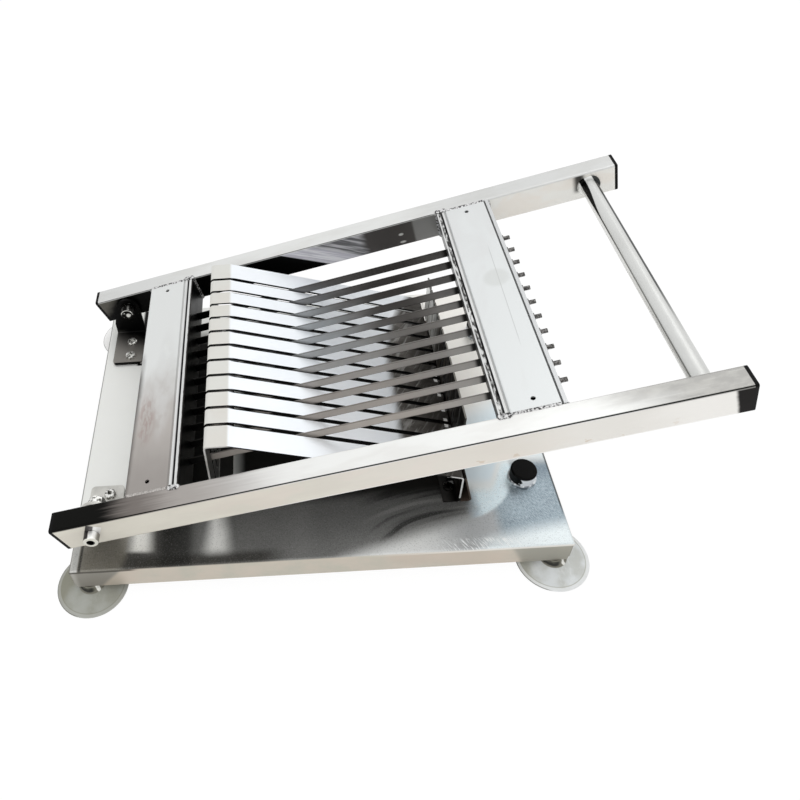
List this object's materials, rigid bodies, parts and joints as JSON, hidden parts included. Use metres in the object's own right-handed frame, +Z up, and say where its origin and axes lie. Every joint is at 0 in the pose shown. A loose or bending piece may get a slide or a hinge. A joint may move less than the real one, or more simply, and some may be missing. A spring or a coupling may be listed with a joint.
{
  "type": "roll cutter",
  "caption": "Hand-pressed roll cutter: a hinged frame of stretched parallel blades comes down over a slotted ramp and comb on a folded base with suction cups.",
  "frame": {"origin": "on the table, under the middle of the whole part as it stands, with its frame raised to rest", "axes": "+X from the hinge to the handle, +Y away from the user, across the blades, +Z up"},
  "size_m": [0.552, 0.3764, 0.2153],
  "materials": {
    "tray_steel": "brushed stainless sheet",
    "trough_steel": "polished stainless sheet",
    "bracket_steel": "stainless plate",
    "frame_steel": "polished stainless tube",
    "bar_steel": "stainless flat bar",
    "weld_steel": "weld bead, brushed after welding",
    "blade_steel": "ground blade strip",
    "fastener_steel": "plain stainless fastener",
    "cap_plastic": "black end plug",
    "buffer_rubber": "black, slightly glossy rubber",
    "buffer_steel": "turned metal",
    "cup_plastic": "soft translucent plastic"
  },
  "bodies": {
    "base": {"base_tray": "tray_steel", "suction_cup_hinge_end_far": "cup_plastic", "suction_cup_hinge_end_near": "cup_plastic", "suction_cup_handle_end_far": "cup_plastic", "suction_cup_handle_end_near": "cup_plastic", "cup_studs": "fastener_steel", "cup_weld_nuts": "fastener_steel", "hinge_bracket_far": "bracket_steel", "hinge_bracket_near": "bracket_steel", "bracket_screws": "fastener_steel", "bracket_nuts": "fastener_steel", "pivot_bolt_far": "fastener_steel", "pivot_bolt_near": "fastener_steel", "pivot_washers": "fastener_steel", "pivot_lock_nuts": "fastener_steel", "roll_trough": "trough_steel", "stop_comb": "trough_steel", "trough_screws": "fastener_steel", "trough_nuts": "fastener_steel", "comb_screws": "fastener_steel", "comb_nuts": "fastener_steel", "buffer_base_far": "buffer_steel", "buffer_base_near": "buffer_steel", "buffer_pad_far": "buffer_rubber", "buffer_pad_near": "buffer_rubber", "buffer_screws": "fastener_steel"},
    "cutting_frame": {"arm_cap_front_far": "cap_plastic", "arm_cap_front_near": "cap_plastic", "arm_cap_tail_far": "cap_plastic", "arm_cap_tail_near": "cap_plastic", "arm_far": "frame_steel", "arm_near": "frame_steel", "backing_bar_left": "bar_steel", "backing_bar_right": "bar_steel", "blade_01": "blade_steel", "blade_02": "blade_steel", "blade_03": "blade_steel", "blade_04": "blade_steel", "blade_05": "blade_steel", "blade_06": "blade_steel", "blade_07": "blade_steel", "blade_08": "blade_steel", "blade_09": "blade_steel", "blade_10": "blade_steel", "blade_11": "blade_steel", "blade_anchor_pins": "fastener_steel", "blade_rail_left": "bar_steel", "blade_rail_right": "bar_steel", "blade_tension_pins": "fastener_steel", "cross_tube_left": "frame_steel", "cross_tube_right": "frame_steel", "frame_welds": "weld_steel", "handle_bar": "frame_steel", "handle_collars": "frame_steel", "pivot_bushes": "fastener_steel", "rail_welds": "weld_steel", "tension_bar": "bar_steel", "tension_nuts": "fastener_steel", "tension_studs": "fastener_steel", "tension_washers": "fastener_steel"}
  },
  "joints": [
    {"name": "frame_hinge", "type": "hinge", "parent": "base", "child": "cutting_frame", "pos_m": [-0.23007, 0, 0.0733], "axis": [0, -1, 0], "range_deg": [-15.5, 75.75]}
  ]
}
